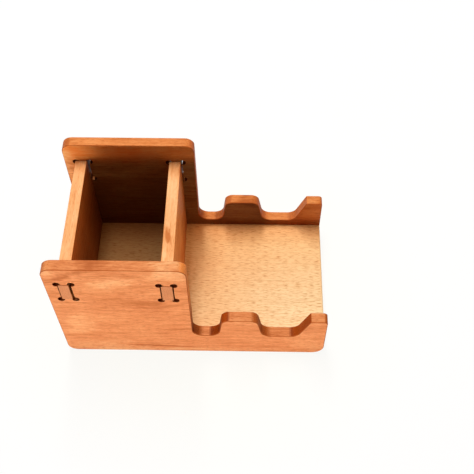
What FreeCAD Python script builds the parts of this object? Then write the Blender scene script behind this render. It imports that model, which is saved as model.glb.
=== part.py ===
"""Wooden desk stand: a pen well, a pen-rest tray and a drawer under the tray.

Two cheeks stand on edge.  Two cross walls are tenoned through them and make
the pen well; a board housed between them is the floor of the well and of the
tray; a drawer runs on strips under that board and opens at the low end.

Frame: millimetres, +X along the cheeks towards the low end, +Y from the front
cheek to the back cheek, +Z up, origin on the desk under the middle of the
stand.
"""
import FreeCAD, Part
import math
import os

V = FreeCAD.Vector

# ---------------------------------------------------------------- cheeks
stand_width = 125.0          # over the outer faces of the cheeks
cheek_thickness = 9.0
tall_height = 130.0          # cheek height beside the pen well
tall_length = 106.5          # length of the tall part
rest_height = 54.6           # top of the hump between the notches
horn_height = 54.0           # top of the horn at the low end
notch_floor_height = 29.0    # lowest line of both pen notches
first_notch_width = 24.1     # mouth of the notch beside the tall part
hump_width = 28.2            # between the two notches, at its top
second_notch_width = 42.5    # mouth of the notch beside the horn
horn_width = 13.7            # top of the horn
hump_left_lean = 6.8         # degrees from upright
hump_right_lean = 10.4
horn_lean = 22.0

tall_left_radius = 8.5
tall_right_radius = 7.5
notch_floor_radius = 9.0
hump_radius = 7.0
horn_tip_radius = 1.0
horn_end_radius = 3.0
foot_left_radius = 8.0
foot_right_radius = 10.0
eased_edge = 0.5             # arrises broken by sanding

# ------------------------------------------------------- pen-well walls
wall_thickness = 9.4
wall_top_drop = 19.5         # wall top below the top of the cheeks
left_wall_inset = 8.9        # from the left end to the left wall
right_wall_inset = 11.4      # from the end of the tall part to the right wall
left_tenon_shoulder = 1.6    # step from the left wall's left face to its tenons
right_tenon_shoulder = 1.1
tenon_height = 20.4
tenon_top_drop = 1.8         # tenon top below the wall top
tenon_proud = 0.4            # tenon end standing out of the cheek
mortise_width = 10.4
mortise_end_gap = 0.05       # above and below a tenon
left_mortise_inset = 0.8     # from the left wall's left face to its mortises
right_mortise_inset = 0.1
relief_radius = 2.8          # round cutter holes at the mortise corners
relief_side_outset = 0.3     # hole centre beyond the mortise's side
relief_end_outset = 0.7      # hole centre beyond the mortise's top or bottom

# ------------------------------------------------------------ tray board
bay_height = 15.6            # desk to the underside of the board
board_thickness = 6.0
board_housing_depth = 3.0    # board edges let into the cheeks
board_housing_stop = 6.0     # housings end this far from the cheek ends
wall_housing_depth = 2.0     # walls let into the board
board_nose_radius = 1.5      # rounded upper edge at the low end

# ---------------------------------------------------- rail and runners
rail_thickness = 9.0
rail_inset = 4.0             # from the left end to the rail
rail_dowel_radius = 2.0
rail_dowel_depth = 6.0       # into the cheek
rail_dowel_grip = 10.0       # into the rail
dowel_clearance = 0.05
runner_width = 3.5           # out from the cheek
runner_height = 5.0
runner_top_drop = 3.6        # below the underside of the board
runner_pin_radius = 1.0
runner_pin_depth = 5.0       # into the cheek
runner_pin_count = 3
runner_pin_end = 15.0        # outer pins to the ends of the runner

# ---------------------------------------------------------------- drawer
desk_gap = 1.5               # drawer and rail above the desk
drawer_top_gap = 0.6
drawer_side_gap = 0.5
drawer_rear_gap = 0.3
drawer_setback = 5.0         # drawer front behind the nose of the board
drawer_front_thickness = 8.0
drawer_side_thickness = 7.0
drawer_back_thickness = 7.0
corner_lap = 4.0             # sides let into the drawer front
back_housing_depth = 2.5     # drawer back let into the sides
back_margin = 5.0            # side ends behind the drawer back
bottom_thickness = 3.0
bottom_lip = 1.2             # wood under the bottom panel
bottom_groove_depth = 2.5
groove_clearance = 0.1       # around the bottom panel
runner_clearance = 0.2       # above and below a runner
runner_side_clearance = 0.4  # between a runner and its groove
runner_end_gap = 1.0         # from a runner to the drawer front
finger_notch_width = 26.0
finger_notch_depth = 7.5
drawer_pin_radius = 1.0
drawer_pin_length = 14.0

# ------------------------------------------------------- construction aids
overshoot = 1.0              # cutters run this far past the wood they cut
corner_share = 0.48          # most of a side that one corner's arc may use
same_place = 1e-4            # coordinates this close are the same

# --------------------------------------------------------- derived sizes
stand_length = tall_length + first_notch_width + hump_width + second_notch_width + horn_width
left_end = -stand_length / 2
right_end = stand_length / 2
tall_end = left_end + tall_length
cheek_outer = stand_width / 2
cheek_inner = cheek_outer - cheek_thickness

board_bottom = bay_height
board_top = bay_height + board_thickness
wall_top = tall_height - wall_top_drop
tenon_top = wall_top - tenon_top_drop
tenon_bottom = tenon_top - tenon_height

left_wall_x = left_end + left_wall_inset
right_wall_x = tall_end - right_wall_inset - wall_thickness

rail_x = left_end + rail_inset
rail_end = rail_x + rail_thickness

drawer_low = desk_gap
drawer_high = board_bottom - drawer_top_gap
drawer_half = cheek_inner - drawer_side_gap
drawer_nose = right_end - drawer_setback
front_back_face = drawer_nose - drawer_front_thickness
drawer_tail = rail_end + drawer_rear_gap
side_inner = drawer_half - drawer_side_thickness
drawer_back_x = drawer_tail + back_margin

runner_high = board_bottom - runner_top_drop
runner_low = runner_high - runner_height
runner_end = front_back_face - runner_end_gap
panel_low = drawer_low + bottom_lip
panel_high = panel_low + bottom_thickness


# --------------------------------------------------------------- helpers
def block(x_range, y_range, z_range):
    """Box from three (low, high) pairs."""
    sizes = [high - low for low, high in (x_range, y_range, z_range)]
    return Part.makeBox(*sizes, V(x_range[0], y_range[0], z_range[0]))


def rod_along_y(radius, x, z, y_low, y_high):
    """Round rod or drill along Y."""
    return Part.makeCylinder(radius, y_high - y_low, V(x, y_low, z), V(0, 1, 0))


def mirrored(shape):
    """Twin of a shape on the other side of the middle plane y = 0."""
    return shape.mirror(V(0, 0, 0), V(0, 1, 0))


def rounded_outline(corners):
    """Closed wire in the XZ plane from (x, z, radius) corners with tangent arcs.

    A corner's arc is kept within half of the shorter side that it joins.
    """
    points = [V(x, 0, z) for x, z, radius in corners]
    arcs = []
    for index, (x, z, radius) in enumerate(corners):
        corner = points[index]
        before = points[index - 1] - corner
        after = points[(index + 1) % len(points)] - corner
        half_angle = before.getAngle(after) / 2
        room = corner_share * min(before.Length, after.Length)
        reach = min(radius / math.tan(half_angle), room)
        before.normalize()
        after.normalize()
        bisector = (before + after).normalize()
        arc_radius = reach * math.tan(half_angle)
        to_centre = arc_radius / math.sin(half_angle)
        middle = corner + bisector * (to_centre - arc_radius)
        arcs.append((corner + before * reach, middle, corner + after * reach))
    edges = []
    for index, (start, middle, end) in enumerate(arcs):
        edges.append(Part.Arc(start, middle, end).toShape())
        next_start = arcs[(index + 1) % len(arcs)][0]
        edges.append(Part.LineSegment(end, next_start).toShape())
    return Part.Wire(edges)


def edges_where(shape, is_wanted):
    """Edges whose bounding box passes the test."""
    return [edge for edge in shape.Edges if is_wanted(edge.BoundBox)]


def lies_at(low, high, value):
    """True if an edge's extent along one axis is a single given value."""
    return abs(low - value) < same_place and abs(high - value) < same_place


# ---------------------------------------------------------------- cheeks
def cheek_corners():
    """Corners of the cheek's outline, anticlockwise from the left foot."""
    notch_depth = rest_height - notch_floor_height
    horn_depth = horn_height - notch_floor_height
    hump_start = tall_end + first_notch_width
    hump_end = hump_start + hump_width
    horn_start = hump_end + second_notch_width
    hump_foot_left = hump_start - notch_depth * math.tan(math.radians(hump_left_lean))
    hump_foot_right = hump_end + notch_depth * math.tan(math.radians(hump_right_lean))
    horn_foot = horn_start - horn_depth * math.tan(math.radians(horn_lean))
    return [
        (left_end, 0, foot_left_radius),
        (right_end, 0, foot_right_radius),
        (right_end, horn_height, horn_end_radius),
        (horn_start, horn_height, horn_tip_radius),
        (horn_foot, notch_floor_height, notch_floor_radius),
        (hump_foot_right, notch_floor_height, notch_floor_radius),
        (hump_end, rest_height, hump_radius),
        (hump_start, rest_height, hump_radius),
        (hump_foot_left, notch_floor_height, notch_floor_radius),
        (tall_end, notch_floor_height, notch_floor_radius),
        (tall_end, tall_height, tall_right_radius),
        (left_end, tall_height, tall_left_radius),
    ]


def relieved_mortise(left):
    """Cutter for a through mortise, with a round hole at each corner."""
    right = left + mortise_width
    low = tenon_bottom - mortise_end_gap
    high = tenon_top + mortise_end_gap
    y_range = (-cheek_outer - overshoot, -cheek_inner + overshoot)
    cutter = block((left, right), y_range, (low, high))
    for x in (left - relief_side_outset, right + relief_side_outset):
        for z in (low - relief_end_outset, high + relief_end_outset):
            cutter = cutter.fuse(rod_along_y(relief_radius, x, z, *y_range))
    return cutter


def rail_dowel_places():
    """Heights of the two dowels at each end of the rail."""
    quarter = (board_bottom - desk_gap) / 4
    return (desk_gap + quarter, board_bottom - quarter)


def runner_pin_places():
    """X positions of the pins along a runner."""
    first = rail_end + runner_pin_end
    last = runner_end - runner_pin_end
    step = (last - first) / (runner_pin_count - 1)
    return [first + step * index for index in range(runner_pin_count)]


def front_cheek():
    outline = rounded_outline(cheek_corners())
    outline.translate(V(0, -cheek_outer, 0))
    cheek = Part.Face(outline).extrude(V(0, cheek_thickness, 0))
    arrises = edges_where(
        cheek,
        lambda box: lies_at(box.YMin, box.YMax, -cheek_outer) or lies_at(box.YMin, box.YMax, -cheek_inner),
    )
    cheek = cheek.makeChamfer(eased_edge, arrises)
    board_housing = block(
        (left_end + board_housing_stop, right_end - board_housing_stop),
        (-cheek_inner - board_housing_depth, -cheek_inner + overshoot),
        (board_bottom, board_top),
    )
    cutters = [
        relieved_mortise(left_wall_x + left_mortise_inset),
        relieved_mortise(right_wall_x + right_mortise_inset),
        board_housing,
    ]
    for z in rail_dowel_places():
        cutters.append(
            rod_along_y(
                rail_dowel_radius + dowel_clearance,
                rail_x + rail_thickness / 2,
                z,
                -cheek_inner - rail_dowel_depth - dowel_clearance,
                -cheek_inner + overshoot,
            )
        )
    for x in runner_pin_places():
        cutters.append(
            rod_along_y(
                runner_pin_radius + dowel_clearance,
                x,
                (runner_low + runner_high) / 2,
                -cheek_inner - runner_pin_depth - dowel_clearance,
                -cheek_inner + overshoot,
            )
        )
    return cheek.cut(cutters)


# --------------------------------------------------------- pen-well walls
def well_wall(x, tenon_shoulder):
    """Cross wall let into the board, with a tenon through each cheek."""
    wall = block(
        (x, x + wall_thickness),
        (-cheek_inner, cheek_inner),
        (board_top - wall_housing_depth, wall_top),
    )
    arrises = edges_where(
        wall,
        lambda box: lies_at(box.ZMin, box.ZMax, wall_top) and box.YLength > wall_thickness,
    )
    wall = wall.makeFillet(eased_edge, arrises)
    reach = cheek_outer + tenon_proud
    tenons = block(
        (x + tenon_shoulder, x + wall_thickness),
        (-reach, reach),
        (tenon_bottom, tenon_top),
    )
    return wall.fuse(tenons).removeSplitter()


# ------------------------------------------------------------- tray board
def tray_board():
    board = block((left_end, right_end), (-cheek_inner, cheek_inner), (board_bottom, board_top))
    nose = edges_where(
        board,
        lambda box: lies_at(box.XMin, box.XMax, right_end) and lies_at(box.ZMin, box.ZMax, board_top),
    )
    board = board.makeFillet(board_nose_radius, nose)
    tongue_half = cheek_inner + board_housing_depth
    tongues = block(
        (left_end + board_housing_stop, right_end - board_housing_stop),
        (-tongue_half, tongue_half),
        (board_bottom, board_top),
    )
    board = board.fuse(tongues).removeSplitter()
    housings = [
        block(
            (x, x + wall_thickness),
            (-cheek_inner, cheek_inner),
            (board_top - wall_housing_depth, board_top + overshoot),
        )
        for x in (left_wall_x, right_wall_x)
    ]
    return board.cut(housings)


# ------------------------------------------------------- rail and runners
def end_rail():
    rail = block((rail_x, rail_end), (-cheek_inner, cheek_inner), (desk_gap, board_bottom))
    holes = []
    for z in rail_dowel_places():
        front_hole = rod_along_y(
            rail_dowel_radius + dowel_clearance,
            rail_x + rail_thickness / 2,
            z,
            -cheek_inner - overshoot,
            -cheek_inner + rail_dowel_grip + dowel_clearance,
        )
        holes.extend((front_hole, mirrored(front_hole)))
    return rail.cut(holes)


def rail_dowels():
    dowels = []
    for z in rail_dowel_places():
        dowel = rod_along_y(
            rail_dowel_radius,
            rail_x + rail_thickness / 2,
            z,
            -cheek_inner - rail_dowel_depth,
            -cheek_inner + rail_dowel_grip,
        )
        dowels.extend((dowel, mirrored(dowel)))
    return Part.makeCompound(dowels)


def front_runner():
    runner = block(
        (rail_end, runner_end),
        (-cheek_inner, -cheek_inner + runner_width),
        (runner_low, runner_high),
    )
    holes = [
        rod_along_y(
            runner_pin_radius + dowel_clearance,
            x,
            (runner_low + runner_high) / 2,
            -cheek_inner - overshoot,
            -cheek_inner + runner_width + overshoot,
        )
        for x in runner_pin_places()
    ]
    return runner.cut(holes)


def runner_pins():
    pins = []
    for x in runner_pin_places():
        pin = rod_along_y(
            runner_pin_radius,
            x,
            (runner_low + runner_high) / 2,
            -cheek_inner - runner_pin_depth,
            -cheek_inner + runner_width,
        )
        pins.extend((pin, mirrored(pin)))
    return Part.makeCompound(pins)


# ----------------------------------------------------------------- drawer
def finger_notch():
    """Cutter for the round dip in the top edge of the drawer front."""
    half = finger_notch_width / 2
    radius = (half ** 2 + finger_notch_depth ** 2) / (2 * finger_notch_depth)
    centre_z = drawer_high - finger_notch_depth + radius
    return Part.makeCylinder(
        radius,
        drawer_front_thickness + 2 * overshoot,
        V(front_back_face - overshoot, 0, centre_z),
        V(1, 0, 0),
    )


def drawer_pin_places():
    """Heights of the two pins at each front corner, above the bottom panel."""
    quarter = (drawer_high - panel_high) / 4
    return (panel_high + quarter, drawer_high - quarter)


def drawer_pin(z, extra_radius, extra_length):
    """Pin through the lapped corner at the front end of the front side."""
    x = front_back_face + corner_lap / 2
    head = -drawer_half
    return rod_along_y(drawer_pin_radius + extra_radius, x, z, head - extra_length, head + drawer_pin_length)


def drawer_front():
    front = block(
        (front_back_face, drawer_nose),
        (-drawer_half, drawer_half),
        (drawer_low, drawer_high),
    )
    arrises = edges_where(front, lambda box: lies_at(box.XMin, box.XMax, drawer_nose))
    front = front.makeChamfer(eased_edge, arrises)
    lap = block(
        (front_back_face - overshoot, front_back_face + corner_lap),
        (-drawer_half - overshoot, -side_inner),
        (drawer_low - overshoot, drawer_high + overshoot),
    )
    panel_groove = block(
        (front_back_face - overshoot, front_back_face + bottom_groove_depth + groove_clearance),
        (-side_inner - overshoot, side_inner + overshoot),
        (panel_low - groove_clearance, panel_high + groove_clearance),
    )
    cutters = [finger_notch(), lap, mirrored(lap), panel_groove]
    for z in drawer_pin_places():
        hole = drawer_pin(z, dowel_clearance, overshoot)
        cutters.extend((hole, mirrored(hole)))
    return front.cut(cutters)


def front_drawer_side():
    side = block(
        (drawer_tail, front_back_face + corner_lap),
        (-drawer_half, -side_inner),
        (drawer_low, drawer_high),
    )
    runner_groove_depth = runner_width - drawer_side_gap + runner_side_clearance
    runner_groove = block(
        (drawer_tail - overshoot, front_back_face),
        (-drawer_half - overshoot, -drawer_half + runner_groove_depth),
        (runner_low - runner_clearance, runner_high + runner_clearance),
    )
    panel_groove = block(
        (drawer_tail - overshoot, front_back_face + corner_lap + overshoot),
        (-side_inner - bottom_groove_depth - groove_clearance, -side_inner + overshoot),
        (panel_low - groove_clearance, panel_high + groove_clearance),
    )
    back_housing = block(
        (drawer_back_x, drawer_back_x + drawer_back_thickness),
        (-side_inner - back_housing_depth, -side_inner + overshoot),
        (panel_high + groove_clearance, drawer_high + overshoot),
    )
    holes = [drawer_pin(z, dowel_clearance, overshoot) for z in drawer_pin_places()]
    return side.cut([runner_groove, panel_groove, back_housing] + holes)


def drawer_back():
    half = side_inner + back_housing_depth
    return block(
        (drawer_back_x, drawer_back_x + drawer_back_thickness),
        (-half, half),
        (panel_high + groove_clearance, drawer_high),
    )


def drawer_bottom():
    half = side_inner + bottom_groove_depth
    return block(
        (drawer_back_x, front_back_face + bottom_groove_depth),
        (-half, half),
        (panel_low, panel_high),
    )


def drawer_pins():
    pins = []
    for z in drawer_pin_places():
        pin = drawer_pin(z, 0, 0)
        pins.extend((pin, mirrored(pin)))
    return Part.makeCompound(pins)


# ------------------------------------------------------------------ parts
def build_nodes():
    cheek = front_cheek()
    runner = front_runner()
    side = front_drawer_side()
    return {
        "front_cheek": cheek,
        "back_cheek": mirrored(cheek),
        "left_wall": well_wall(left_wall_x, left_tenon_shoulder),
        "right_wall": well_wall(right_wall_x, right_tenon_shoulder),
        "tray_board": tray_board(),
        "end_rail": end_rail(),
        "rail_dowels": rail_dowels(),
        "front_runner": runner,
        "back_runner": mirrored(runner),
        "runner_pins": runner_pins(),
        "drawer_front": drawer_front(),
        "front_drawer_side": side,
        "back_drawer_side": mirrored(side),
        "drawer_back": drawer_back(),
        "drawer_bottom": drawer_bottom(),
        "drawer_pins": drawer_pins(),
    }


os.makedirs("parts", exist_ok=True)
for node_name, node_shape in build_nodes().items():
    node_shape.exportStep("parts/" + node_name + ".step")
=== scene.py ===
import math

import bpy
from mathutils import Matrix, Vector


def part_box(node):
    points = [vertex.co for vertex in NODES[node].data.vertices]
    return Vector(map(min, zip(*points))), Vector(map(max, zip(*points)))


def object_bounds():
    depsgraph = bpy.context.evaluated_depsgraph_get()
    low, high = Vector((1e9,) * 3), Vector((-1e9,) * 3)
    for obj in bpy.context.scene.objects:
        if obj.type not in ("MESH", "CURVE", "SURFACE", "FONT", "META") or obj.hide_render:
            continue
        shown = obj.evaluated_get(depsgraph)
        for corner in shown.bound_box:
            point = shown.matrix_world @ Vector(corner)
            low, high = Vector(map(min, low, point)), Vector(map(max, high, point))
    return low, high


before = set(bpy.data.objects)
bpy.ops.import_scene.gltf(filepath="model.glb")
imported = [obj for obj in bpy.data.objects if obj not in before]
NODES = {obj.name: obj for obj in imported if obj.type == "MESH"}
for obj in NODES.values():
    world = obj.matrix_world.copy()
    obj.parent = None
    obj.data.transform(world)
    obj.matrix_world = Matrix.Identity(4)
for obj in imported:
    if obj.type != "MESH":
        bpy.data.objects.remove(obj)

CAD_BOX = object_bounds()

# Lengths are in metres.  X runs along the stand to its low end, Y from the front
# cheek to the back one, and Z up.


# ------------------------------------------------------------------ node tools
def srgb(red, green, blue):
    """Linear colour from 0-255 display values."""
    def line(value):
        value /= 255
        return value / 12.92 if value <= 0.04045 else ((value + 0.055) / 1.055) ** 2.4
    return (line(red), line(green), line(blue), 1.0)


WHITE = srgb(255, 255, 255)


class Nodes:
    """A material's or world's node tree, with short calls for the nodes it uses."""

    def __init__(self, owner):
        owner.use_nodes = True
        self.tree = owner.node_tree
        self.tree.nodes.clear()

    def add(self, kind, inputs=None, **settings):
        """New node.  An input is fed by an output of another node or by a constant."""
        node = self.tree.nodes.new(kind)
        for key, value in settings.items():
            setattr(node, key, value)
        for key, value in (inputs or {}).items():
            if isinstance(value, bpy.types.NodeSocket):
                self.tree.links.new(value, node.inputs[key])
            else:
                node.inputs[key].default_value = value
        return node

    def math(self, operation, first, second=0.0):
        return self.add("ShaderNodeMath", {0: first, 1: second}, operation=operation).outputs[0]

    def scaled(self, vector, factors):
        """Vector times (x, y, z) factors."""
        node = self.add("ShaderNodeVectorMath", {0: vector, 1: factors}, operation="MULTIPLY")
        return node.outputs[0]

    def shifted(self, vector, offset):
        node = self.add("ShaderNodeVectorMath", {0: vector, 1: offset}, operation="ADD")
        return node.outputs[0]

    def length(self, vector):
        return self.add("ShaderNodeVectorMath", {0: vector}, operation="LENGTH").outputs["Value"]

    def split(self, vector):
        """A vector's X, Y and Z, by those names."""
        return self.add("ShaderNodeSeparateXYZ", {0: vector}).outputs

    def noise(self, vector, detail, roughness):
        """Noise of feature size one in the given space: Fac is about 0 to 1."""
        inputs = {"Vector": vector, "Scale": 1.0, "Detail": detail, "Roughness": roughness}
        return self.add("ShaderNodeTexNoise", inputs).outputs

    def between(self, value, low, high, to_low=0.0, to_high=1.0):
        """Value mapped smoothly from low..high to to_low..to_high, clamped."""
        inputs = {"Value": value, "From Min": low, "From Max": high, "To Min": to_low, "To Max": to_high}
        return self.add("ShaderNodeMapRange", inputs, interpolation_type="SMOOTHSTEP").outputs["Result"]

    def within(self, value, low, high):
        """One where the value lies from low to high, else zero."""
        inputs = {0: value, 1: (low + high) / 2, 2: (high - low) / 2}
        return self.add("ShaderNodeMath", inputs, operation="COMPARE").outputs[0]

    def mix(self, factor, first, second, blend="MIX"):
        inputs = {0: factor, 6: first, 7: second}
        return self.add("ShaderNodeMix", inputs, data_type="RGBA", blend_type=blend).outputs[2]

    def ramp(self, factor, stops):
        """Colours at places from 0 to 1 of a factor."""
        node = self.add("ShaderNodeValToRGB", {"Fac": factor})
        points = node.color_ramp.elements
        while len(points) < len(stops):
            points.new(0.5)
        for point, (place, colour) in zip(points, stops):
            point.position = place
            point.color = colour
        return node.outputs["Color"]

    def profile(self, length, stops):
        """Colours at places along a length."""
        first, last = stops[0][0], stops[-1][0]
        share = self.math("DIVIDE", self.math("SUBTRACT", length, first), last - first)
        return self.ramp(share, [((place - first) / (last - first), colour) for place, colour in stops])

    def seen(self):
        """One where the camera or a reflection looks, else zero."""
        ray = self.add("ShaderNodeLightPath").outputs
        return self.math("MAXIMUM", ray["Is Camera Ray"], ray["Is Glossy Ray"])


# --------------------------------------------------------- places on the stand
AXES = {"X": (1, 0, 0), "Y": (0, 1, 0), "Z": (0, 0, 1)}
ARRIS = 0.0005                             # width of the cheeks' eased arrises
BACK_CHEEK_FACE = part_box("back_cheek")[0].y
# from face to face inside the pen well, and from its floor up
WELL = {
    "X": (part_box("left_wall")[1].x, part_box("right_wall")[0].x),
    "Y": (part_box("front_cheek")[1].y, BACK_CHEEK_FACE),
    "Z": (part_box("tray_board")[1].z, CAD_BOX[1].z),
}

# ------------------------------------------------------------- noises and bands
# A noise is its feature's length along the grain, width across it, detail and
# roughness.
WARP = (0.016, 0.009, 3.0, 0.5)            # ragged edges of figures
SWAY = (0.085, 0.030, 3.0, 0.55)           # slow wander of the year rings
RIPPLE = (0.020, 0.006, 2.0, 0.5)          # their quick wander
RING_PATCH = (0.050, 0.020, 2.0, 0.5)      # where they show
STREAK = (0.050, 0.0014, 3.0, 0.6)
FIBRE = (0.008, 0.0006, 3.0, 0.65)
PATCH = (0.030, 0.014, 4.0, 0.6)
PORE_NOISE = (1.0, 0.5)                    # detail and roughness only
SPECKLE_NOISE = (3.0, 0.7)
SPECKLES_PER_METRE = 1400

# A band is a value's low and high, and what it becomes at each, where that isn't
# 0 and 1.
RING_SHOW = (0.35, 0.65, 0.2, 1.0)         # by ring patch
END_SPECK = (0.3, 0.7)                     # by speckle
BROAD_SIDE = (0.5, 0.8)                    # by how squarely a side faces along X
TOP_FACE = (0.90, 0.98)                    # by how squarely a face looks up
SLANTED = (0.3, 0.5)                       # by how squarely a face looks along Y
NOT_FLAT = (0.8, 0.95, 1.0, 0.0)
# painted light: a redder, brighter band on the back cheek's inner face above the walls
BROW_HEIGHTS = (0.103, 0.124)              # the redder band above the walls
BROW_PLACES = (-0.045, -0.020, 1.0, 0.6)   # it weakens to the right
NOTCH_DEPTH = (0.64, 0.88, 1.0, 0.0)       # by openness
SLIT_DEPTH = (0.06, 0.34, 0.92, 0.0)
ROUGHNESS = (0.1, 0.9, 0.58, 0.44)         # by tone
PAPER_WHITENESS = (0.45, 1.5, 0.93, 1.0)   # by distance from the stand

NOTCH_REACH = 0.025                        # how far neighbours count for openness
SLIT_REACH = 0.006
OPENNESS_RAYS = 8
RAGGED = 1.3                               # swing of a figure's edge, in its reaches
SPECKLE_SHARE, PATCH_SHARE = 0.75, 0.25    # in the end grain's speckle
FIBRE_RELIEF = 0.6                         # height of the fibres against the pores' depth
RELIEF = {"Strength": 0.22, "Distance": 0.0003}
SPECULAR = 0.07
# painted shade in holes, slits and tight corners
SLIT_SHADE = srgb(100, 40, 10)


# ------------------------------------------------------------------------ wood
class Wood(Nodes):
    """A material of solid wood whose grain runs along one axis.

    kind is one of the species below.  offset moves the board within the tree
    and pith is the tree's middle across the grain.  figures are flames and
    dark swirls of the grain, and on the back cheek also patches of painted
    light and shade.  Each step changes the surface's colour.
    """

    def __init__(self, name, kind, grain, offset, pith, figures=()):
        self.material = bpy.data.materials.new(name)
        super().__init__(self.material)
        self.kind = kind
        self.along = AXES[grain]
        self.here = self.add("ShaderNodeTexCoord").outputs["Object"]
        self.place = self.shifted(self.here, offset)
        self.at = self.split(self.here)
        self.geometry = self.add("ShaderNodeNewGeometry").outputs
        self.facing = self.split(self.geometry["Normal"])

        self.patch = self.grain_noise(*PATCH)["Fac"]
        self.fibre = self.grain_noise(*FIBRE)["Fac"]
        self.pore = self.pores()
        self.tone = self.grain(pith, self.figure(figures))
        tones = kind["tones"]
        self.surface = self.mix(self.pore, self.ramp(self.tone, tones), tones[0][1])
        self.end_share = self.end_grain()
        if "side" in kind:
            self.paint_side_shade()
        if "inner" in kind:
            self.paint_inner_light_and_shade()
        if "well_shade" in kind:
            self.paint_well_shade()
        # painted shade on the board: darker near the right wall and toward the back cheek
        for axis, stops in kind.get("painted_shade", {}).items():
            self.surface = self.tinted(self.profile(self.at[axis], stops))
        if "arris" in kind:
            # painted shade: top faces are a little darker, against the light they catch
            self.burnish()
        if "top" in kind:
            up = self.between(self.facing["Z"], *TOP_FACE)
            self.surface = self.mix(up, self.surface, self.tinted(kind["top"]))
        if "hollow" in kind:
            self.paint_notch_shade()
        self.paint_slit_shade()
        self.close()

    def grain_noise(self, length, width, detail, roughness):
        """Noise whose features are long along the grain and narrow across it."""
        factors = tuple(1 / length if a else 1 / width for a in self.along)
        return self.noise(self.scaled(self.place, factors), detail, roughness)

    def tinted(self, colour):
        """The surface's colour multiplied by another."""
        return self.mix(1.0, self.surface, colour, "MULTIPLY")

    def figure(self, figures):
        """Change of tone by flames and swirls, and by patches of painted light and shade, with edges pulled
        about by noise.
        """
        warp = self.shifted(self.grain_noise(*WARP)["Color"], (-0.5, -0.5, -0.5))
        total = 0.0
        for centre, reach, tilt, amount in figures:
            warped = self.shifted(self.here, self.scaled(warp, tuple(RAGGED * v for v in reach)))
            turned = self.add(
                "ShaderNodeVectorRotate",
                {"Vector": self.shifted(warped, tuple(-v for v in centre)), "Angle": math.radians(tilt)},
                rotation_type="XYZ"[reach.index(0)] + "_AXIS",
            ).outputs["Vector"]
            far = self.length(self.scaled(turned, tuple(1 / v if v else 0 for v in reach)))
            total = self.math("ADD", total, self.between(far, 0.0, 1.0, amount, 0.0))
        return total

    def rings(self, pith, figure):
        """Wave of the year rings round the pith, pulled about slowly along the board."""
        kind = self.kind
        across = tuple(1 - v for v in self.along)
        radius = self.length(self.scaled(self.shifted(self.place, tuple(-p for p in pith)), across))
        pulls = (
            (self.grain_noise(*SWAY)["Fac"], kind["sway"]),
            (self.grain_noise(*RIPPLE)["Fac"], kind["ripple"]),
            (figure, kind["bend"]),
        )
        for part, reach in pulls:
            radius = self.math("ADD", radius, self.math("MULTIPLY", part, reach))
        turns = self.math("DIVIDE", radius, kind["ring"])
        wave = self.math("SINE", self.math("MULTIPLY", turns, 2 * math.pi))
        strength = self.between(self.grain_noise(*RING_PATCH)["Fac"], *RING_SHOW)
        return self.math("MULTIPLY", wave, strength)

    def pores(self):
        """Share of short and long pores."""
        share = 0.0
        for size, low, high, strength in self.kind["pores"]:
            noise = self.grain_noise(*size, *PORE_NOISE)["Fac"]
            share = self.math("MAXIMUM", share, self.between(noise, low, high, 0.0, strength))
        return share

    def grain(self, pith, figure):
        """Tone of rings, figure, long streaks, fine fibres and broad patches."""
        wave = self.rings(pith, figure)
        tone = self.math("ADD", 0.5, self.math("MULTIPLY", wave, self.kind["ring_contrast"]))
        tone = self.math("ADD", tone, figure)
        layers = (self.grain_noise(*STREAK)["Fac"], self.fibre, self.patch)
        for part, weight in zip(layers, self.kind["contrasts"]):
            tone = self.math("ADD", tone, self.math("MULTIPLY", self.math("SUBTRACT", part, 0.5), weight))
        return tone

    def end_grain(self):
        """End grain drinks the oil and turns dark, with a speckle of open pores. Where its colours differ by
        the way it faces or by height, as on the cheeks, that split is painted shade and light.

        Gives the share of end grain.
        """
        facing = self.add(
            "ShaderNodeVectorMath", {0: self.geometry["Normal"], 1: self.along}, operation="DOT_PRODUCT"
        ).outputs["Value"]
        speckle = self.noise(self.scaled(self.place, (SPECKLES_PER_METRE,) * 3), *SPECKLE_NOISE)["Fac"]
        speckle = self.math("MULTIPLY", speckle, SPECKLE_SHARE)
        patch = self.math("MULTIPLY", self.patch, PATCH_SHARE)
        speck = self.between(self.math("ADD", speckle, patch), *END_SPECK)
        end_share = 0.0
        for direction, (low, high), (foot, top), dark, light in self.kind["ends"]:
            share = self.between(self.math("MULTIPLY", facing, direction), low, high)
            share = self.math("MULTIPLY", share, self.between(self.at["Z"], foot, top))
            self.surface = self.mix(share, self.surface, self.mix(speck, dark, light))
            end_share = self.math("MAXIMUM", end_share, share)
        return end_share

    def paint_side_shade(self):
        """Painted shade on the walls' broad sides: redder than their edges, and darker toward the back."""
        broad = self.between(self.math("ABSOLUTE", self.facing["X"]), *BROAD_SIDE)
        redder = self.tinted(self.profile(self.at["Y"], self.kind["side"]))
        self.surface = self.mix(broad, self.surface, redder)

    def paint_inner_light_and_shade(self):
        """Painted shade darkens the back cheek's inner face, and painted light makes it redder and brighter
        above the walls.
        """
        inside = self.math("LESS_THAN", self.at["Y"], BACK_CHEEK_FACE + ARRIS)
        darker = self.tinted(self.profile(self.at["X"], self.kind["inner"]))
        redder = self.mix(1.0, self.surface, self.kind["brow"], "SCREEN")
        above = self.between(self.at["Z"], *BROW_HEIGHTS)
        brow = self.math("MULTIPLY", above, self.between(self.at["X"], *BROW_PLACES))
        self.surface = self.mix(inside, self.surface, self.mix(brow, darker, redder))

    def paint_well_shade(self):
        """Painted shade darkens the pen well toward its floor."""
        inside = 1.0
        for axis, (low, high) in WELL.items():
            inside = self.math("MULTIPLY", inside, self.within(self.at[axis], low - ARRIS, high + ARRIS))
        well_shaded = self.tinted(self.profile(self.at["Z"], self.kind["well_shade"]))
        self.surface = self.mix(inside, self.surface, well_shaded)

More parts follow.
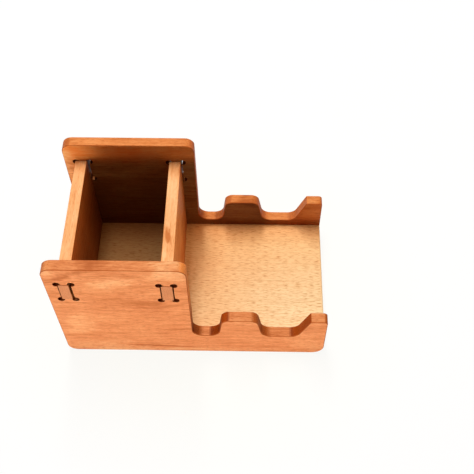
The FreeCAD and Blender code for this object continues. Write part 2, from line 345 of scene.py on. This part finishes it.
    def burnish(self):
        """The cheeks' eased arrises are darker."""
        slant = self.math("ABSOLUTE", self.split(self.geometry["True Normal"])["Y"])
        eased = self.math("MULTIPLY", self.between(slant, *SLANTED), self.between(slant, *NOT_FLAT))
        share = self.math("MULTIPLY", eased, self.kind["burnish"])
        self.surface = self.mix(share, self.surface, self.kind["arris"])

    def openness(self, reach, **settings):
        """One in the open, less where other surfaces stand within reach."""
        settings["samples"] = OPENNESS_RAYS
        return self.add("ShaderNodeAmbientOcclusion", {"Distance": reach}, **settings).outputs["AO"]

    def paint_notch_shade(self):
        """Painted shade darkens the end grain down in the notches."""
        hollow = self.between(self.openness(NOTCH_REACH, only_local=True), *NOTCH_DEPTH)
        depth = self.math("MULTIPLY", self.end_share, hollow)
        self.surface = self.mix(depth, self.surface, self.tinted(self.kind["hollow"]))

    def paint_slit_shade(self):
        """Painted shade darkens holes, slits and tight corners."""
        share = self.between(self.openness(SLIT_REACH), *SLIT_DEPTH)
        self.surface = self.mix(share, self.surface, SLIT_SHADE)

    def close(self):
        """Sheen and fine relief, and the output."""
        height = self.math("SUBTRACT", self.math("MULTIPLY", self.fibre, FIBRE_RELIEF), self.pore)
        look = {
            "Base Color": self.surface,
            "Roughness": self.between(self.tone, *ROUGHNESS),
            "Normal": self.add("ShaderNodeBump", {"Height": height, **RELIEF}).outputs["Normal"],
            "Specular IOR Level": SPECULAR,
        }
        shader = self.add("ShaderNodeBsdfPrincipled", look)
        self.add("ShaderNodeOutputMaterial", {"Surface": shader.outputs[0]})


# --------------------------------------------------------------------- species
# tones         colours of the grain from dark to light
# ends          per patch of end grain: the way it faces along the grain, how
#               squarely it must face, the heights over which it fades in, and
#               its dark and light colours
# ring          spacing of the year rings; sway, ripple and bend say how far
#               noise and figures pull them
# contrasts     of streaks, fibres and patches
# pores         per layer: feature size, noise levels where it starts and ends,
#               and strength
# side, inner, well and board shade   colours of painted shade that multiply the surface, by place
# top, hollow                 colours of painted shade that multiply top faces and notches
# arris and its share         darker colour of the eased arrises, and its share
# brow                        colour of painted light that brightens the inner face above the walls
ANYWHERE = (-0.02, -0.01)
BELOW = (0.090, 0.062)
ABOVE = (0.062, 0.090)
SQUARE = (0.10, 0.65)


def both_ends(dark, light):
    """End grain of the same colours at both ends of a board."""
    return [(way, SQUARE, ANYWHERE, dark, light) for way in (-1, 1)]


# painted shade of the pen well, by height above its floor
WELL_SHADE = (
    (0.020, srgb(158, 142, 124)),
    (0.060, srgb(176, 168, 158)),
    (0.085, srgb(210, 206, 202)),
    (0.105, WHITE),
)

CHEEK = {
    "tones": [
        (0.10, srgb(186, 102, 54)),
        (0.36, srgb(214, 129, 77)),
        (0.54, srgb(229, 145, 91)),
        (0.78, srgb(240, 164, 108)),
        (1.00, srgb(248, 186, 132)),
    ],
    # end grain is darker; the split by the way it faces and by height is painted shade and light:
    # left-facing slopes darker, the tall part's right-facing end paler
    "ends": (
        (-1, (0.00, 0.24), BELOW, srgb(130, 50, 10), srgb(168, 78, 22)),
        (-1, (0.15, 0.95), ABOVE, srgb(150, 72, 24), srgb(196, 106, 46)),
        (1, (0.00, 0.55), BELOW, srgb(138, 62, 18), srgb(180, 94, 40)),
        (1, (0.05, 0.75), ABOVE, srgb(196, 104, 40), srgb(240, 152, 80)),
    ),
    "well_shade": WELL_SHADE,
    "arris": srgb(168, 84, 36),
    "burnish": 0.85,
    "top": srgb(233, 230, 225),
    # painted shade of the end grain in the notches
    "hollow": srgb(126, 90, 40),
    "ring": 0.0046, "ring_contrast": 0.07, "sway": 0.016, "ripple": 0.0012, "bend": 0.012,
    "contrasts": (0.55, 1.10, 0.62),
    "pores": (
        ((0.0042, 0.00050), 0.55, 0.68, 0.62),
        ((0.045, 0.00050), 0.60, 0.74, 0.34),
    ),
}
BACK_CHEEK = dict(
    CHEEK,
    tones=[
        (0.10, srgb(172, 90, 37)),
        (0.40, srgb(206, 123, 63)),
        (0.60, srgb(219, 138, 77)),
        (0.90, srgb(235, 161, 99)),
        (1.00, srgb(252, 182, 120)),
    ],
    # painted shade: the left-facing ends darken sooner than the right-facing ones
    ends=(
        (-1, (0.03, 0.35), ANYWHERE, srgb(164, 84, 36), srgb(206, 122, 68)),
        (1, (0.10, 0.80), ANYWHERE, srgb(156, 74, 32), srgb(198, 113, 62)),
    ),
    # painted shade of the back cheek's inner face, by place along X: none left of the walls, darkest at the
    # hump, lighter at the horn
    inner=(
        (-0.0985, WHITE),
        (-0.0970, srgb(203, 217, 206)),
        (-0.0850, srgb(190, 218, 216)),
        (-0.0320, srgb(190, 215, 214)),
        (-0.0220, srgb(200, 212, 204)),
        (-0.0130, srgb(162, 186, 192)),
        (0.0000, srgb(160, 180, 182)),
        (0.0160, srgb(136, 130, 120)),
        (0.0560, srgb(136, 130, 120)),
        (0.0860, srgb(201, 172, 142)),
    ),
    # painted light on the inner face above the walls
    brow=srgb(236, 84, 0),
    top=srgb(244, 243, 242),
    contrasts=(0.75, 1.10, 1.00),
)
WALL = {
    "tones": [
        (0.10, srgb(202, 120, 62)),
        (0.42, srgb(238, 170, 112)),
        (0.90, srgb(248, 200, 148)),
    ],
    "ends": both_ends(srgb(188, 114, 72), srgb(224, 150, 102)),
    # painted shade of the walls' broad sides, by place along Y
    "side": (
        (-0.020, srgb(255, 216, 166)),
        (0.008, srgb(250, 210, 160)),
        (0.025, srgb(222, 180, 132)),
        (0.050, srgb(206, 162, 114)),
    ),
    "well_shade": WELL_SHADE,
    "top": srgb(240, 241, 244),
    "ring": 0.0040, "ring_contrast": 0.10, "sway": 0.010, "ripple": 0.0006, "bend": 0.0,
    "contrasts": (0.80, 0.80, 0.85),
    "pores": (
        ((0.0040, 0.00045), 0.56, 0.70, 0.40),
        ((0.050, 0.00040), 0.58, 0.72, 0.30),
    ),
}
PALE = {
    "tones": [
        (0.10, srgb(206, 156, 106)),
        (0.45, srgb(230, 190, 142)),
        (0.90, srgb(240, 208, 164)),
    ],
    "ends": both_ends(srgb(190, 134, 88), srgb(222, 166, 116)),
    "ring": 0.0070, "ring_contrast": 0.05, "sway": 0.006, "ripple": 0.0004, "bend": 0.0,
    "contrasts": (0.30, 0.50, 0.40),
    "pores": (((0.0030, 0.00050), 0.54, 0.64, 0.45),),
}
BOARD = dict(
    PALE,
    tones=[
        (0.10, srgb(184, 124, 66)),
        (0.42, srgb(234, 206, 165)),
        (0.90, srgb(238, 220, 182)),
    ],
    ends=both_ends(srgb(226, 194, 150), srgb(244, 218, 178)),
    well_shade=WELL_SHADE,
    # painted shade: the board darker beside the right wall and toward the back cheek
    painted_shade={
        "X": (
            (-0.012, srgb(255, 252, 242)),
            (0.001, srgb(244, 229, 214)),
            (0.012, srgb(242, 226, 211)),
            (0.030, srgb(247, 239, 231)),
            (0.055, srgb(251, 247, 243)),
            (0.075, WHITE),
        ),
        "Y": (
            (-0.050, WHITE),
            (-0.028, srgb(255, 252, 249)),
            (0.000, srgb(255, 242, 232)),
            (0.030, srgb(255, 234, 214)),
            (0.046, srgb(248, 214, 184)),
        ),
    },
    pores=(
        ((0.0056, 0.00044), 0.53, 0.66, 0.72),
        ((0.100, 0.00040), 0.55, 0.72, 0.40),
    ),
)
BIRCH = dict(PALE, ring=0.012, sway=0.04, ring_contrast=0.10, pores=(((0.0040, 0.00045), 0.54, 0.64, 0.25),))
DOWEL = dict(PALE, ring=0.0012, sway=0.001)

# centre, reach (zero through the board), tilt in degrees, change of tone
FRONT_FIGURES = (
    ((-0.090, 0, 0.121), (0.030, 0, 0.007), 30, -0.42),    # dark swirl at the upper left
    ((-0.068, 0, 0.132), (0.016, 0, 0.006), 0, -0.30),     # its end on the top edge
    ((-0.058, 0, 0.113), (0.024, 0, 0.012), 8, 0.44),      # flame
    ((-0.014, 0, 0.126), (0.022, 0, 0.014), 0, 0.44),      # paler corner
    ((-0.034, 0, 0.080), (0.026, 0, 0.014), 0, -0.18),     # shade under the flame
    ((-0.092, 0, 0.046), (0.024, 0, 0.030), 0, 0.30),      # paler lower corner
    ((-0.103, 0, 0.127), (0.010, 0, 0.007), 0, 0.32),      # paler upper left corner
    ((-0.078, 0, 0.009), (0.048, 0, 0.018), 0, 0.26),      # paler left foot
    ((-0.020, 0, 0.0030), (0.105, 0, 0.0060), 0, 0.34),    # paler band along the foot
    ((0.098, 0, 0.012), (0.022, 0, 0.014), 0, 0.18),       # paler right foot
    ((-0.031, 0, 0.0098), (0.044, 0, 0.0014), -4, -0.75),  # fine dark line near the foot
)
# the back cheek's figures are painted shade and light: the hump's darker patch, the horn's paler tip and the
# lit strip left of the walls
BACK_FIGURES = (
    ((0.042, 0, 0.056), (0.014, 0, 0.012), 0, -0.30),      # darker patch on the hump
    ((0.094, 0, 0.058), (0.012, 0, 0.010), 0, 0.20),       # paler tip of the horn
    ((-0.110, 0, 0.108), (0.014, 0, 0.040), 0, 0.60),      # paler strip left of the walls
)
RIGHT_WALL_FIGURES = (
    ((-0.0178, -0.017, 0), (0.0036, 0.015, 0), -15, -0.55),  # brown streak along the top
    ((-0.0180, 0.028, 0), (0.006, 0.018, 0), 0, 0.30),       # paler patch behind it
    ((-0.0200, -0.036, 0), (0.003, 0.012, 0), 0, 0.25),      # and before it
)

# the arguments after a species are the grain's axis, offset, pith and figures
DRAWER_LONG = Wood("drawer_wood_long", PALE, "X", (0, 0, 0.4), (0, 0.1, 0.2))
DRAWER_CROSS = Wood("drawer_wood_cross", PALE, "Y", (0, 0.2, 0.4), (0.1, 0, 0.2))
PIN_WOOD = Wood("pin_wood", DOWEL, "Y", (0.3, 0, 0), (0.01, 0, 0.01))
WOODS = {
    "front_cheek": Wood("cheek_wood_front", CHEEK, "X", (0, 0, 0), (0, 0.05, 0.16), FRONT_FIGURES),
    "back_cheek": Wood("cheek_wood_back", BACK_CHEEK, "X", (0.71, 0, 0.02), (0, 0.05, 0.16), BACK_FIGURES),
    "left_wall": Wood("wall_wood_left", WALL, "Y", (0, 0, 0), (0.03, 0, 0.2)),
    "right_wall": Wood("wall_wood_right", WALL, "Y", (0, 0.43, 0.03), (0.03, 0, 0.2), RIGHT_WALL_FIGURES),
    "tray_board": Wood("board_wood", BOARD, "X", (0, 0, 0), (0, 0.09, -0.25)),
    "end_rail": Wood("rail_wood", CHEEK, "Y", (0.2, 0.1, 0), (0.06, 0, 0.2)),
    "drawer_front": Wood("drawer_front_wood", CHEEK, "Y", (0.1, 0.3, 0), (0.05, 0, 0.14)),
    "front_runner": DRAWER_LONG,
    "back_runner": DRAWER_LONG,
    "front_drawer_side": DRAWER_LONG,
    "back_drawer_side": DRAWER_LONG,
    "drawer_back": DRAWER_CROSS,
    "drawer_bottom": Wood("panel_wood", BIRCH, "X", (0.5, 0, 0.1), (0, 0, 0.9)),
    "rail_dowels": PIN_WOOD,
    "runner_pins": PIN_WOOD,
    "drawer_pins": PIN_WOOD,
}
for node_name, wood in WOODS.items():
    NODES[node_name].data.materials.clear()
    NODES[node_name].data.materials.append(wood.material)


# ------------------------------------------------------------ floor and light
FLOOR_SIZE = 8.0
PAPER_COLOUR = (0.93, 0.93, 0.93, 1.0)
# painted warm bounce of light on the paper beside the object
PAPER_PAINTED_BOUNCE = ((0.10, srgb(255, 255, 251)), (0.20, WHITE))
AMBIENT = 0.06


def paper():
    """White paper that keeps its soft shadow, with a painted warm bounce of light beside the object."""
    material = bpy.data.materials.new("floor_paper")
    s = Nodes(material)
    far = s.length(s.add("ShaderNodeTexCoord").outputs["Object"])
    diffuse = s.add("ShaderNodeBsdfDiffuse", {"Color": PAPER_COLOUR})
    white = s.add("ShaderNodeEmission", {"Color": s.profile(far, PAPER_PAINTED_BOUNCE), "Strength": 1.0})
    share = s.math("MULTIPLY", s.seen(), s.between(far, *PAPER_WHITENESS))
    both = s.add("ShaderNodeMixShader", {0: share, 1: diffuse.outputs[0], 2: white.outputs[0]})
    s.add("ShaderNodeOutputMaterial", {"Surface": both.outputs[0]})
    return material


def studio():
    """World that looks white and gives only faint light."""
    world = bpy.data.worlds.new("studio")
    s = Nodes(world)
    ambient = s.add("ShaderNodeBackground", {"Color": WHITE, "Strength": AMBIENT})
    backdrop = s.add("ShaderNodeBackground", {"Color": WHITE, "Strength": 1.0})
    both = s.add("ShaderNodeMixShader", {0: s.seen(), 1: ambient.outputs[0], 2: backdrop.outputs[0]})
    s.add("ShaderNodeOutputWorld", {"Surface": both.outputs[0]})
    return world


def softbox(name, place, target, size, power, colour):
    """Rectangular lamp that faces its target."""
    light = bpy.data.lights.new(name, "AREA")
    light.shape = "RECTANGLE"
    light.size, light.size_y = size
    light.energy = power
    light.color = colour
    lamp = bpy.data.objects.new(name, light)
    bpy.context.scene.collection.objects.link(lamp)
    lamp.location = place
    lamp.rotation_mode = "QUATERNION"
    lamp.rotation_quaternion = (Vector(target) - Vector(place)).to_track_quat("-Z", "Y")


bpy.ops.mesh.primitive_plane_add(size=FLOOR_SIZE, location=(0, 0, 0))
floor = bpy.context.object
floor.name = "floor"
floor.data.materials.append(paper())

bpy.context.scene.world = studio()
softbox(
    "top_strip", place=(-0.20, 0.82, 1.75), target=(-0.20, 0.82, 0),
    size=(0.25, 1.64), power=37.0, colour=(0.94, 1.0, 0.98),
)
softbox(
    "top_fill", place=(0.20, 0.30, 1.75), target=(0.20, 0.30, 0),
    size=(1.6, 1.0), power=16.0, colour=(1.0, 0.66, 0.36),
)
softbox(
    "front_softbox", place=(-0.25, -1.15, 0.03), target=(-0.02, -0.06, 0.05),
    size=(0.4, 0.06), power=8.4, colour=(1.0, 0.97, 0.92),
)


# ---------------------------------------------------------------------- camera
LENS, SENSOR = 61.314, 36.0          # in millimetres
CAMERA_PLACE = Vector((0.04451, -0.35962, 0.62475))
YAW, PITCH, ROLL = (math.radians(v) for v in (-1.629, 56.486, -0.691))


def camera_axes(yaw, pitch, roll):
    """Right, up and backward directions of the camera."""
    forward = Vector(
        (math.sin(yaw) * math.cos(pitch), math.cos(yaw) * math.cos(pitch), -math.sin(pitch))
    )
    level = Vector((math.cos(yaw), -math.sin(yaw), 0))
    above = level.cross(forward)
    right = level * math.cos(roll) + above * math.sin(roll)
    up = above * math.cos(roll) - level * math.sin(roll)
    return right, up, -forward


camera_data = bpy.data.cameras.new("camera")
camera_data.lens = LENS
camera_data.sensor_width = SENSOR
camera_data.clip_start = 0.02
camera_data.clip_end = 20.0
camera = bpy.data.objects.new("camera", camera_data)
bpy.context.scene.collection.objects.link(camera)
turn = Matrix(camera_axes(YAW, PITCH, ROLL)).transposed().to_4x4()
camera.matrix_world = Matrix.Translation(CAMERA_PLACE) @ turn
bpy.context.scene.camera = camera

bpy.context.scene.view_settings.view_transform = "Standard"
